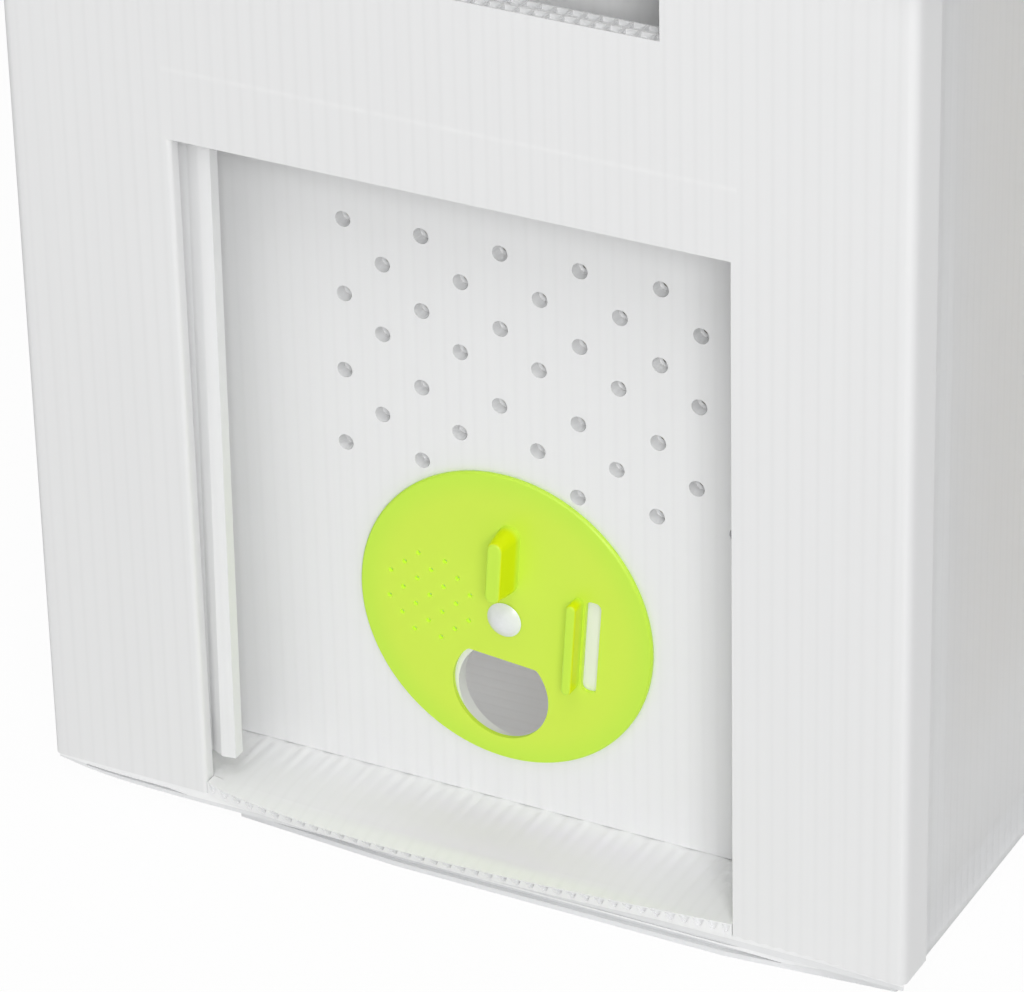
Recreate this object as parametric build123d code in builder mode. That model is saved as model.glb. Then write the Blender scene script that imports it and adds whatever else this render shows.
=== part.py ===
import os

from build123d import *

# A nucleus hive folded from fluted plastic sheet, with an entrance disc, a hinged lid and its comb frames.
# Millimetres, +Z up, front towards -Y. The origin is the middle of the face that the hive stands on.

# Sheet
sheet = 3.5
corner_radius = 2.5
fold_gap = 0.3

# Comb frames: standard deep frames with spacing shoulders on their side bars
frame_count = 6
frame_spacing = 35.0
frame_depth = 232.0
frame_length = 448.0
lug_length = 17.3
top_bar_width = 27.0
top_bar_depth = 19.0
lug_depth = 9.5
side_bar_thickness = 9.5
side_bar_waist = 28.6
shoulder_length = 92.0
bottom_bar_width = 19.0
bottom_bar_depth = 9.5
foundation_thickness = 3.0
foundation_end_gap = 1.0
groove_depth = 4.0
groove_clearance = 0.1
frame_edge_break = 0.8
nail_radius = 0.8
nail_head_radius = 1.6
nail_head_height = 0.5
nail_length = 30.0
nail_stagger = 12.0

# Room around the frames
side_gap = 7.5
end_bee_space = 8.0
top_bee_space = 9.5
under_frame_space = 39.5

# End walls: porch window, legs and handhold
porch_depth = 25.7
leg_width = 45.5
lintel_height = 51.6
handhold_inset = 17.5
handhold_height = 20.0
handhold_corner = 3.0
rest_margin = 2.5
liner_drop = 33.2
return_width = 13.0
notch_depth = 5.0

# Corner flaps folded in from the side walls
left_flap_overhang = 7.5
flap_foot_gap = 6.5

# Bottom flaps
left_flap_relief = 1.5
fold_crush = 2.8
fold_crush_length = 18.0
right_bottom_flap_width = 182.5
right_flap_setback = 0.8
free_end_taper = 3.0
free_end_run = 46.0
fold_end_taper = 4.4
fold_end_run = 45.0
bottom_fold_radius = 1.2
flap_corner_radius = 1.5

# Vents in the front inner panel, on a staggered grid whose rows are punched a little out of line
vent_radius = 2.1
vent_pitch_x = 21.4
vent_columns = 6
vent_grid_shift = 10.8
vent_row_heights = (92.9, 103.2, 113.3, 125.6, 134.5, 144.8, 154.9)
vent_row_drifts = (-1.2, -1.2, -0.7, -0.4, 0.0, 0.2, 0.4)

# Entrance disc and its rivet
pivot_height = 54.0
disc_radius = 40.5
disc_thickness = 1.2
disc_gap = 0.25
disc_turn = -4.6
disc_rim = 5.9
disc_edge_break = 0.4
entrance_radius = 13.4
entrance_corner = 1.5
bridge_height = 11.8
doorway_radius = 14.2
doorway_drop = 22.4
slot_width = 4.2
slot_length = 26.2
slot_offset = 24.0
slot_corner = 1.6
rib_width = 2.8
rib_height = 4.6
rib_gap = 2.1
disc_vent_radius = 0.65
disc_vent_pitch = 5.25
disc_vent_offset = 21.0
disc_vent_count = 5
grip_start = 8.0
grip_length = 19.2
grip_width = 6.0
grip_height = 8.2
grip_draft = 7.0
crest_radius = 0.8
rivet_shank_radius = 2.4
rivet_head_radius = 4.7
rivet_head_height = 1.8
rivet_tail_radius = 5.0
rivet_tail_height = 1.5
pivot_clearance = 0.05
rivet_head_gap = 0.2

# Lid
skirt_depth = 17.5
lid_clearance = 0.5

# Levels along X, from the middle out
inner_half_width = frame_count * frame_spacing / 2 + side_gap
wall_half_width = inner_half_width + sheet
front_half_width = wall_half_width + sheet
window_half_width = front_half_width - leg_width
handhold_width = 2 * (window_half_width - handhold_inset)
left_flap_edge = window_half_width - left_flap_overhang

# Levels along Y, from the middle out
top_bar_half = frame_length / 2 + lug_length
panel_inner_y = frame_length / 2 + end_bee_space
panel_outer_y = panel_inner_y + sheet
end_outer_y = panel_outer_y + porch_depth
end_inner_y = end_outer_y - sheet
liner_inner_y = end_inner_y - sheet

# Levels along Z, from the ground up
right_flap_top = sheet
floor_top = right_flap_top + sheet
porch_top = floor_top + sheet
frame_bottom = floor_top + under_frame_space
frame_top = frame_bottom + frame_depth
rest_top = frame_top - lug_depth
rest_bottom = rest_top - sheet
rim = frame_top + top_bee_space
handhold_top = rest_bottom - rest_margin
handhold_middle = handhold_top - handhold_height / 2
handhold_bottom = handhold_top - handhold_height
window_top = handhold_bottom - lintel_height
liner_bottom = handhold_bottom - liner_drop
flap_foot = porch_top + flap_foot_gap
pivot_z = porch_top + pivot_height

# Which end of the hive a piece belongs to
FRONT = -1
BACK = 1

os.makedirs("parts", exist_ok=True)


def keep(piece, name):
    """Label a finished piece and write its file."""
    piece.label = name
    export_step(piece, f"parts/{name}.step")


def slab(x0, x1, y0, y1, z0, z1):
    """A plain rectangle of sheet or timber between two corners."""
    with BuildPart() as plate:
        with BuildSketch(Plane.XY.offset(z0)):
            with Locations(((x0 + x1) / 2, (y0 + y1) / 2)):
                Rectangle(x1 - x0, abs(y1 - y0))
        extrude(amount=z1 - z0)
    return plate.part


def end_slab(end, x0, x1, near, far, z0, z1):
    """A slab at one end of the hive, between two distances from the middle."""
    return slab(x0, x1, min(end * near, end * far), max(end * near, end * far), z0, z1)


# End walls: one sheet across the end, with a return round each corner and a handhold slot
def end_wall(end):
    with BuildPart() as wall:
        with BuildSketch(Plane.XY.offset(floor_top)):
            with Locations((0, end * (end_outer_y - return_width / 2))):
                Rectangle(2 * front_half_width, return_width)
            with Locations((0, end * (end_inner_y - return_width / 2))):
                Rectangle(2 * wall_half_width, return_width, mode=Mode.SUBTRACT)
        extrude(amount=rim - floor_top)
        outer_corners = wall.edges().filter_by(Axis.Z).group_by(lambda edge: end * edge.center().Y)[-1]
        fillet(outer_corners, corner_radius)
        with BuildSketch(Plane.XZ.offset(-end * end_outer_y)):
            with Locations((0, handhold_middle)):
                RectangleRounded(handhold_width, handhold_height, handhold_corner)
            with Locations((-front_half_width, rim), (front_half_width, rim)):
                Rectangle(2 * sheet, 2 * notch_depth)
        extrude(amount=return_width, both=True, mode=Mode.SUBTRACT)
    return wall.part


# Front wall: the legs stand each side of the porch window, which is open at the bottom
with BuildPart() as front_wall:
    add(end_wall(FRONT))
    with BuildSketch(Plane.XZ.offset(end_outer_y)):
        with Locations((0, (floor_top + window_top) / 2)):
            Rectangle(2 * window_half_width, window_top - floor_top)
    extrude(amount=-2 * sheet, mode=Mode.SUBTRACT)
keep(front_wall.part, "front_wall")
keep(end_wall(BACK), "back_wall")


# Liners: a second thickness behind each handhold, between the corner flaps
def end_liner(end, left_edge):
    with BuildPart() as liner:
        add(end_slab(end, left_edge, window_half_width - fold_gap, liner_inner_y, end_inner_y, liner_bottom, rim))
        with BuildSketch(Plane.XZ.offset(-end * end_inner_y)):
            with Locations((0, handhold_middle)):
                RectangleRounded(handhold_width, handhold_height, handhold_corner)
        extrude(amount=2 * sheet, both=True, mode=Mode.SUBTRACT)
    return liner.part


keep(end_liner(FRONT, fold_gap - left_flap_edge), "front_liner")
keep(end_liner(BACK, fold_gap - window_half_width), "back_liner")


# Side walls stand on the bottom flaps, and their end flaps fold in behind the end walls
def corner_flap(side, end, edge):
    with BuildPart() as flap:
        add(
            end_slab(
                end,
                min(side * edge, side * wall_half_width),
                max(side * edge, side * wall_half_width),
                liner_inner_y,
                end_inner_y,
                flap_foot,
                rim,
            )
        )
        fold = flap.edges().filter_by(Axis.Z).sort_by(lambda e: side * e.center().X + end * e.center().Y)[-1]
        fillet(fold, corner_radius)
    return flap.part


for side, side_name, wall_foot in ((-1, "left", floor_top), (1, "right", right_flap_top)):
    x_near = min(side * inner_half_width, side * wall_half_width)
    keep(
        slab(x_near, x_near + sheet, -liner_inner_y, liner_inner_y, wall_foot, rim),
        f"{side_name}_wall",
    )
    front_edge = left_flap_edge if side < 0 else window_half_width
    keep(corner_flap(side, FRONT, front_edge), f"{side_name}_front_flap")
    keep(corner_flap(side, BACK, window_half_width), f"{side_name}_back_flap")

# Left bottom flap: the floor's upper sheet, folded under the left wall, its flutes crushed at the fold
left_flap_end = inner_half_width - fold_gap
with BuildPart() as left_bottom_flap:
    with BuildSketch(Plane.XY.offset(right_flap_top)):
        with BuildLine():
            Polyline(
                (-wall_half_width, -end_outer_y),
                (left_flap_end, left_flap_relief - end_outer_y),
                (left_flap_end, end_outer_y - left_flap_relief),
                (-wall_half_width, end_outer_y),
                close=True,
            )
        make_face()
    extrude(amount=sheet)
    with BuildSketch(Plane.XZ):
        with BuildLine():
            Polyline(
                (-wall_half_width, right_flap_top),
                (fold_crush_length - wall_half_width, right_flap_top),
                (-wall_half_width, right_flap_top + fold_crush),
                close=True,
            )
        make_face()
    extrude(amount=end_outer_y, both=True, mode=Mode.SUBTRACT)
    free_corners = left_bottom_flap.edges().filter_by(Axis.Z).group_by(Axis.X)[-1]
    fillet(free_corners, flap_corner_radius)
keep(left_bottom_flap.part, "left_bottom_flap")

# Right bottom flap: the lowest sheet, folded under the right wall, its ends trimmed back at both corners
right_flap_end = wall_half_width - right_bottom_flap_width
right_flap_y = end_outer_y - right_flap_setback
free_end_y = right_flap_y - free_end_taper
fold_end_y = right_flap_y - fold_end_taper
with BuildPart() as right_bottom_flap:
    with BuildSketch():
        with BuildLine():
            Polyline(
                (right_flap_end, -free_end_y),
                (right_flap_end + free_end_run, -right_flap_y),
                (wall_half_width - fold_end_run, -right_flap_y),
                (wall_half_width, -fold_end_y),
                (wall_half_width, fold_end_y),
                (wall_half_width - fold_end_run, right_flap_y),
                (right_flap_end + free_end_run, right_flap_y),
                (right_flap_end, free_end_y),
                close=True,
            )
        make_face()
    extrude(amount=right_flap_top)
    fold_line = right_bottom_flap.edges().filter_by(Axis.Y).group_by(Axis.X)[-1].sort_by(Axis.Z)[0]
    fillet(fold_line, bottom_fold_radius)
keep(right_bottom_flap.part, "right_bottom_flap")

# Front inner panel: vents in staggered rows clear of the disc, the doorway and the disc's pivot hole
vent_left = vent_grid_shift - (vent_columns - 1) * vent_pitch_x / 2
vent_grid = [
    (vent_left + drift + (column + row % 2 / 2) * vent_pitch_x, porch_top + height)
    for row, (height, drift) in enumerate(zip(vent_row_heights, vent_row_drifts))
    for column in range(vent_columns - row % 2)
]
vent_spots = [(x, z) for x, z in vent_grid if Vector(x, z - pivot_z).length > disc_radius + vent_radius]
with BuildPart() as front_inner_panel:
    add(
        end_slab(
            FRONT, -inner_half_width, inner_half_width, panel_inner_y, panel_outer_y, porch_top, rest_bottom
        )
    )
    with BuildSketch(Plane.XZ.offset(panel_outer_y)):
        with Locations(*vent_spots):
            Circle(vent_radius)
        with Locations((0, pivot_z - doorway_drop)):
            Circle(doorway_radius)
        with Locations((0, pivot_z)):
            Circle(rivet_shank_radius + pivot_clearance)
    extrude(amount=-sheet, mode=Mode.SUBTRACT)
keep(front_inner_panel.part, "front_inner_panel")
keep(
    end_slab(BACK, -inner_half_width, inner_half_width, panel_inner_y, panel_outer_y, porch_top, rest_bottom),
    "back_inner_panel",
)

# Porch floor: the panel's bottom flange, with a lip that reaches out between the legs
lip_half_width = window_half_width - fold_gap
with BuildPart() as porch_floor:
    add(end_slab(FRONT, -inner_half_width, inner_half_width, panel_inner_y, end_inner_y, floor_top, porch_top))
    add(end_slab(FRONT, -lip_half_width, lip_half_width, end_inner_y, end_outer_y, floor_top, porch_top))
keep(porch_floor.part, "porch_floor")
keep(
    end_slab(BACK, -inner_half_width, inner_half_width, panel_inner_y, end_inner_y, floor_top, porch_top),
    "back_floor_flange",
)

# Frame rests: the panels' top flanges, which carry the lugs of the frames
for end, end_name in ((FRONT, "front"), (BACK, "back")):
    keep(
        end_slab(end, -inner_half_width, inner_half_width, panel_inner_y, liner_inner_y, rest_bottom, rest_top),
        f"{end_name}_frame_rest",
    )

# Entrance disc: doorway below, excluder slot on the right, vents on the left and a finger grip on top
disc_back_y = panel_outer_y + disc_gap
disc_front_y = disc_back_y + disc_thickness
disc_plane = Plane(
    origin=(0, -disc_back_y, pivot_z),
    x_dir=Vector(1, 0, 0).rotate(Axis.Y, -disc_turn),
    z_dir=(0, -1, 0),
)
entrance_drop = disc_radius - disc_rim - entrance_radius
bridge_middle = (entrance_drop + bridge_height - entrance_radius) / 2
bridge_span = bridge_height - entrance_drop + entrance_radius
grip_middle = grip_start + grip_length / 2
disc_vent_edge = (disc_vent_count - 1) / 2
disc_vent_spots = [
    (column * disc_vent_pitch, row * disc_vent_pitch)
    for column in (number - disc_vent_edge for number in range(disc_vent_count))
    for row in (number - disc_vent_edge for number in range(disc_vent_count))
    if abs(column) + abs(row) < 2 * disc_vent_edge
]
with BuildPart() as entrance_disc:
    with BuildSketch(disc_plane):
        Circle(disc_radius)
    extrude(amount=disc_thickness)
    chamfer(entrance_disc.faces().sort_by(Axis.Y)[0].edges(), disc_edge_break)
    with BuildSketch(disc_plane) as openings:
        with Locations((0, -entrance_drop)):
            Circle(entrance_radius)
        with Locations((0, -bridge_middle)):
            Rectangle(2 * entrance_radius, bridge_span, mode=Mode.SUBTRACT)
        fillet(openings.vertices().group_by(Axis.Y)[-1], entrance_corner)
        with Locations((slot_offset, 0)):
            RectangleRounded(slot_width, slot_length, slot_corner)
        with Locations(Location((-disc_vent_offset, 0), 45)):
            with Locations(*disc_vent_spots):
                Circle(disc_vent_radius)
    extrude(amount=disc_thickness, mode=Mode.SUBTRACT)
    with BuildSketch(disc_plane.offset(disc_thickness)):
        with Locations((slot_offset - slot_width / 2 - rib_gap, 0)):
            SlotOverall(slot_length, rib_width, rotation=90)
    extrude(amount=rib_height)
    fillet(entrance_disc.faces().sort_by(Axis.Y)[0].edges(), crest_radius)
    with BuildSketch(disc_plane.offset(disc_thickness)):
        with Locations((0, grip_middle)):
            SlotOverall(grip_length, grip_width, rotation=90)
    extrude(amount=grip_height, taper=grip_draft)
    fillet(entrance_disc.faces().sort_by(Axis.Y)[0].edges(), crest_radius)
    with BuildSketch(disc_plane):
        Circle(rivet_shank_radius + pivot_clearance)
    extrude(amount=disc_thickness, mode=Mode.SUBTRACT)
keep(entrance_disc.part, "entrance_disc")

# Pivot rivet: a domed head outside, a shank through the disc and the panel, and a spread tail inside
head_seat = disc_front_y + rivet_head_gap
dome_radius = (rivet_head_radius**2 + rivet_head_height**2) / (2 * rivet_head_height)
with BuildPart() as pivot_rivet:
    with BuildSketch(Plane.XZ.offset(panel_inner_y - rivet_tail_height)):
        with Locations((0, pivot_z)):
            Circle(rivet_tail_radius)
    extrude(amount=rivet_tail_height)
    with BuildSketch(Plane.XZ.offset(panel_inner_y)):
        with Locations((0, pivot_z)):
            Circle(rivet_shank_radius)
    extrude(amount=head_seat - panel_inner_y)
    with BuildSketch(Plane.XY.offset(pivot_z)):
        with BuildLine():
            RadiusArc((rivet_head_radius, -head_seat), (0, -head_seat - rivet_head_height), dome_radius)
            Polyline((0, -head_seat - rivet_head_height), (0, -head_seat), (rivet_head_radius, -head_seat))
        make_face()
    revolve(axis=Axis((0, 0, pivot_z), (0, 1, 0)))
keep(pivot_rivet.part, "pivot_rivet")

# Lid: a top sheet creased on the left wall's outer edge, with skirts over the other three sides
skirt_inner_y = end_outer_y + lid_clearance
skirt_outer_y = skirt_inner_y + sheet
skirt_inner_x = front_half_width + lid_clearance
skirt_outer_x = skirt_inner_x + sheet
with BuildPart() as lid_panel:
    add(slab(-wall_half_width, skirt_outer_x, -skirt_outer_y, skirt_outer_y, rim, rim + sheet))
    fillet(lid_panel.edges().group_by(Axis.Z)[-1].sort_by(Axis.X)[1:], corner_radius)
keep(lid_panel.part, "lid_panel")
for end, end_name in ((FRONT, "front"), (BACK, "back")):
    keep(
        end_slab(
            end, -wall_half_width, skirt_outer_x, skirt_inner_y, skirt_outer_y, rim - skirt_depth, rim
        ),
        f"lid_{end_name}_skirt",
    )
keep(
    slab(skirt_inner_x, skirt_outer_x, -skirt_inner_y, skirt_inner_y, rim - skirt_depth, rim),
    "lid_side_skirt",
)

# Comb frames: each hangs by the lugs of its top bar, shoulder to shoulder with its neighbours
side_bar_outer_y = frame_length / 2
side_bar_inner_y = side_bar_outer_y - side_bar_thickness
joint_y = side_bar_outer_y - side_bar_thickness / 2
top_bar_bottom = frame_top - top_bar_depth
bottom_bar_top = frame_bottom + bottom_bar_depth
foundation_half = side_bar_inner_y - foundation_end_gap
groove_width = foundation_thickness + 2 * groove_clearance
nail_spots = [
    (x, y) for x in (-nail_stagger / 2, nail_stagger / 2) for y in (-joint_y, joint_y)
]
foot_spots = [(0, -joint_y), (0, joint_y)]


def top_bar(x):
    with BuildPart() as bar:
        with BuildSketch(Plane.XY.offset(rest_top)):
            with Locations((x, 0)):
                Rectangle(top_bar_width, 2 * top_bar_half)
        extrude(amount=lug_depth)
        with BuildSketch(Plane.XY.offset(top_bar_bottom)):
            with Locations((x, 0)):
                Rectangle(top_bar_width, 2 * side_bar_inner_y)
        extrude(amount=top_bar_depth - lug_depth)
        chamfer(bar.edges().filter_by(Axis.Y).group_by(Axis.Z)[-1], frame_edge_break)
        with BuildSketch(Plane.XY.offset(top_bar_bottom)):
            with Locations((x, 0)):
                Rectangle(groove_width, 2 * side_bar_inner_y)
        extrude(amount=groove_depth, mode=Mode.SUBTRACT)
        with BuildSketch(Plane.XY.offset(rest_top)):
            with Locations(*[(x + dx, y) for dx, y in nail_spots]):
                Circle(nail_radius)
        extrude(amount=lug_depth, mode=Mode.SUBTRACT)
    return bar.part


def side_bar(x, end):
    with BuildPart() as bar:
        with BuildSketch(Plane.XZ.offset(-end * side_bar_outer_y)):
            with Locations((x, (frame_bottom + frame_top) / 2)):
                Rectangle(side_bar_waist, frame_depth)
            with Locations((x, frame_top - shoulder_length / 2)):
                Rectangle(frame_spacing, shoulder_length)
            with Locations((x, frame_top - lug_depth / 2)):
                Rectangle(top_bar_width, lug_depth, mode=Mode.SUBTRACT)
            with Locations((x, frame_bottom + bottom_bar_depth / 2)):
                Rectangle(bottom_bar_width, bottom_bar_depth, mode=Mode.SUBTRACT)
        extrude(amount=end * side_bar_thickness)
        with BuildSketch(Plane.XY.offset(rest_top)):
            with Locations(*[(x + dx, end * joint_y) for dx in (-nail_stagger / 2, nail_stagger / 2)]):
                Circle(nail_radius)
        extrude(amount=-(nail_length - lug_depth), mode=Mode.SUBTRACT)
        with BuildSketch(Plane.XY.offset(bottom_bar_top)):
            with Locations((x, end * joint_y)):
                Circle(nail_radius)
        extrude(amount=nail_length - bottom_bar_depth, mode=Mode.SUBTRACT)
    return bar.part


def bottom_bar(x):
    with BuildPart() as bar:
        with BuildSketch(Plane.XY.offset(frame_bottom)):
            with Locations((x, 0)):
                Rectangle(bottom_bar_width, frame_length)
        extrude(amount=bottom_bar_depth)
        with BuildSketch(Plane.XY.offset(bottom_bar_top)):
            with Locations((x, 0)):
                Rectangle(groove_width, 2 * side_bar_inner_y)
        extrude(amount=-groove_depth, mode=Mode.SUBTRACT)
        with BuildSketch(Plane.XY.offset(frame_bottom)):
            with Locations(*[(x + dx, y) for dx, y in foot_spots]):
                Circle(nail_radius)
        extrude(amount=bottom_bar_depth, mode=Mode.SUBTRACT)
    return bar.part


frame_middles = [(number - (frame_count - 1) / 2) * frame_spacing for number in range(frame_count)]
for number, x in enumerate(frame_middles, start=1):
    keep(top_bar(x), f"top_bar_{number}")
    keep(side_bar(x, FRONT), f"front_side_bar_{number}")
    keep(side_bar(x, BACK), f"back_side_bar_{number}")
    keep(bottom_bar(x), f"bottom_bar_{number}")
    keep(
        slab(
            x - foundation_thickness / 2,
            x + foundation_thickness / 2,
            -foundation_half,
            foundation_half,
            bottom_bar_top - groove_depth,
            top_bar_bottom + groove_depth,
        ),
        f"foundation_{number}",
    )

# Frame nails: two down through each end of a top bar, one up through each end of a bottom bar
head_spots = [(x + dx, y) for x in frame_middles for dx, y in nail_spots]
tail_spots = [(x + dx, y) for x in frame_middles for dx, y in foot_spots]
with BuildPart() as frame_nails:
    with BuildSketch(Plane.XY.offset(frame_top)):
        with Locations(*head_spots):
            Circle(nail_radius)
    extrude(amount=-nail_length)
    with BuildSketch(Plane.XY.offset(frame_top)):
        with Locations(*head_spots):
            Circle(nail_head_radius)
    extrude(amount=nail_head_height)
    with BuildSketch(Plane.XY.offset(frame_bottom)):
        with Locations(*tail_spots):
            Circle(nail_radius)
    extrude(amount=nail_length)
    with BuildSketch(Plane.XY.offset(frame_bottom)):
        with Locations(*tail_spots):
            Circle(nail_head_radius)
    extrude(amount=-nail_head_height)
keep(frame_nails.part, "frame_nails")

print("front width", 2 * front_half_width, "length", 2 * end_outer_y, "height", rim + sheet)
print("handhold", handhold_bottom, handhold_top, "window top", window_top, "rest", rest_top, "rim", rim)
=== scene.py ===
import math

import bmesh
import bpy
from mathutils import Matrix, Quaternion, Vector


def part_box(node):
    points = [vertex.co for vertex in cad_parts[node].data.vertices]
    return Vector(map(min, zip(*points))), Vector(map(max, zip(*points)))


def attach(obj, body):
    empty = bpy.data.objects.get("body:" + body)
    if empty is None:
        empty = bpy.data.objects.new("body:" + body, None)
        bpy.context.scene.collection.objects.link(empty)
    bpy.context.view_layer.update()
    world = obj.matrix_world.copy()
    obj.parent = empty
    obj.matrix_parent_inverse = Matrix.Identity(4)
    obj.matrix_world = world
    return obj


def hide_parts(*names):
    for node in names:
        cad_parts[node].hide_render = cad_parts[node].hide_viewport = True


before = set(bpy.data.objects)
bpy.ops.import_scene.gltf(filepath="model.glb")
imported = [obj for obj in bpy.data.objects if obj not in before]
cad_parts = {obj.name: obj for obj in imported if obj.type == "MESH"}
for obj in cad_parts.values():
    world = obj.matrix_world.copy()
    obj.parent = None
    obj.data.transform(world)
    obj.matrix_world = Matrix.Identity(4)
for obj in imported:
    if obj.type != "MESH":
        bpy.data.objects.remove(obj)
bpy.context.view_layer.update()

# Bottom flaps. Creased feet of the side walls, folded under the hive, the left flap over the right. Like
# every wall they are twin-wall polypropylene sheet, 3.5 mm thick: two thin skins on ribs 3.84 mm apart.

FLUTE = 0.00384
SHEET_WHITE = (0.982, 0.986, 0.990, 1)
# The edge white below is greyer: painted shade for the lower front edges of the bottom flaps and the inside
# of their slits.
EDGE_PAINTED_SHADE = (0.860, 0.867, 0.874, 1)
THIN_GLOW = 0.62
RIB_SHADE = 0.093
RIB_EDGE = 5.0
DRAWN_ACROSS = 700
DRAWN_ALONG = 9
CLOUDS = (11, 11, 11)
SHEET_RELIEF = 0.00003
PLASTIC_IOR = 1.49
SHEET = 0.0035
SKIN = 0.00035
FLUTE_DEPTH = 0.010
PINCH_RISE = 0.6
SQUARE_ON = 0.99
SHARP_FOLD = math.radians(24)
ROUND_STEPS = 4
ACROSS = Vector((1, 0, 0))
ALONG = Vector((0, 1, 0))
LEFT_FLAP_RELIEF = 0.0015
FOLD_CRUSH = 0.0028
FOLD_CRUSH_LENGTH = 0.009
FREE_END_TAPER = 0.0030
FREE_END_RUN = 0.046
FOLD_END_TAPER = 0.0044
FOLD_END_RUN = 0.045
BOTTOM_FOLD_RADIUS = 0.0012
EDGE_GLOW = 0.06
EDGE_DEPTH = 0.0014
LEFT_SLIT = (0.0011, 0.0018)
RIGHT_SLIT = (0.0014, 0.0030)
SLIT_END = 0.006
SLIT_PINCH = 0.1
LEFT_SLIT_STEPS = 6
RIGHT_SLIT_CLEAR = 0.030
FOLD_TONGUE = 0.0018
FREE_TONGUE = 0.0064
CORNER_SAG = 0.0014
CORNER_SAG_FROM = 0.095


class Wire:
    """One output in a material's node tree. A sum of wires and numbers adds its Math nodes."""

    def __init__(self, tree, socket=None):
        self.tree = tree
        self.socket = socket

    def node(self, kind, settings, sockets, out=0):
        """Adds a node: its settings, then the value or wire of each socket. Gives one output as a wire."""
        node = self.tree.nodes.new(kind)
        for name, value in settings.items():
            setattr(node, name, value)
        for name, value in sockets.items():
            if isinstance(value, Wire):
                self.tree.links.new(value.socket, node.inputs[name])
            else:
                node.inputs[name].default_value = value
        return Wire(self.tree, node.outputs[out] if node.outputs else None)

    def math(self, operation, first, second=0.0):
        return self.node("ShaderNodeMath", {"operation": operation}, {0: first, 1: second})

    def mix(self, first, second, share):
        return self.node("ShaderNodeMix", {"data_type": "RGBA"}, {0: share, 6: first, 7: second}, 2)

    def __add__(self, other):
        return self.math("ADD", self, other)

    def __sub__(self, other):
        return self.math("SUBTRACT", self, other)

    def __rsub__(self, other):
        return self.math("SUBTRACT", other, self)

    def __mul__(self, other):
        return self.math("MULTIPLY", self, other)

    def __truediv__(self, other):
        return self.math("DIVIDE", self, other)

    def __pow__(self, other):
        return self.math("POWER", self, other)

    __radd__ = __add__
    __rmul__ = __mul__


def new_finish(name):
    """An empty material, the wire that its nodes start from, the place on the piece and its three axes."""
    finish = bpy.data.materials.new(name)
    finish.use_nodes = True
    finish.node_tree.nodes.clear()
    start = Wire(finish.node_tree)
    place = start.node("ShaderNodeTexCoord", {}, {}, "Object")
    split = start.node("ShaderNodeSeparateXYZ", {}, {0: place})
    axes = [Wire(start.tree, socket) for socket in split.socket.node.outputs]
    return finish, start, place, axes


def stretched(axis, own, others):
    """Noise scales for the three axes, of which that one has its own."""
    return [own if each == axis else others for each in range(3)]


def speckle(start, place, scale, detail=2.0):
    """Soft noise from 0 to 1, stretched by its three scales per metre."""
    spread = start.node("ShaderNodeMapping", {}, {"Vector": place, "Scale": scale})
    return start.node("ShaderNodeTexNoise", {}, {"Vector": spread, "Scale": 1.0, "Detail": detail})


def shine_through(start, skin, behind, glow):
    """Ends a material: its skin, mixed with the share of light that comes through from behind."""
    through = start.node("ShaderNodeBsdfTranslucent", {}, behind)
    mixed = start.node("ShaderNodeMixShader", {}, {0: glow, 1: skin, 2: through})
    start.node("ShaderNodeOutputMaterial", {}, {"Surface": mixed})


def fluted_sheet(name, across, marked=None, glow=THIN_GLOW, white=SHEET_WHITE):
    """White twin-wall sheet whose ribs are spaced along that axis, drawn a little unevenly along the flutes.

    A mark gives its share from 0 to 1 over the piece, its colour and how far it is raised. The glow is the
    share of light that comes through."""
    finish, start, place, axes = new_finish(name)
    ribs = (0.5 + 0.5 * start.math("COSINE", axes[across] * (2 * math.pi / FLUTE))) ** RIB_EDGE
    drawn = speckle(start, place, stretched(across, DRAWN_ACROSS, DRAWN_ALONG))
    cloud = speckle(start, place, CLOUDS, 3.0)
    pale = 0.90 - 0.22 * ribs + 0.30 * (drawn - 0.5) + 0.30 * (cloud - 0.5)
    shade = 1 - RIB_SHADE / (1 - glow)
    colour = start.mix([shade * part for part in white[:3]] + [1], white, pale)
    height = drawn * 0.6 - ribs
    if marked:
        mark, tint, raised = marked(start, place, axes)
        colour = start.mix(colour, tint, mark)
        height = height + raised * mark
    bump = start.node("ShaderNodeBump", {}, {"Strength": 0.4, "Distance": SHEET_RELIEF, "Height": height})
    skin = start.node(
        "ShaderNodeBsdfPrincipled",
        {},
        {"Base Color": colour, "Roughness": 0.38 + 0.12 * drawn, "Normal": bump, "IOR": PLASTIC_IOR},
    )
    shine_through(start, skin, {"Color": white, "Normal": bump}, glow)
    return finish


def flat_box(node, turn):
    """The node's corners laid flat: width, height and how far out its face stands."""
    corners = [turn.inverted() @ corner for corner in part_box(node)]
    return [Vector(end(pair) for pair in zip(*corners)) for end in (min, max)]


def blank(lo, hi):
    """A flat piece as it leaves the cutter, in columns one flute wide, its face at the top of its box."""
    bm = bmesh.new()
    size = hi - lo
    bmesh.ops.create_grid(bm, x_segments=max(1, round(size.x / FLUTE)), y_segments=1, size=0.5)
    bmesh.ops.scale(bm, vec=(size.x, size.y, 1), verts=bm.verts)
    bmesh.ops.translate(bm, vec=((lo.x + hi.x) / 2, (lo.y + hi.y) / 2, hi.z), verts=bm.verts)
    return bm


def cut(bm, direction, *places, between=None):
    """Cuts straight lines square to that direction, through the whole blank or between two heights of it."""
    for place in places:
        faces = [f for f in bm.faces if not between or between[0] < f.calc_center_median().y < between[1]]
        edges = list({edge for face in faces for edge in face.edges})
        verts = list({vert for face in faces for vert in face.verts})
        bmesh.ops.bisect_plane(bm, geom=verts + edges + faces, plane_co=direction * place, plane_no=direction)


def thicken(bm):
    """Gives the blank its thickness, inwards from its face."""
    bmesh.ops.solidify(bm, geom=bm.faces[:], thickness=SHEET)
    bm.normal_update()


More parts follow.
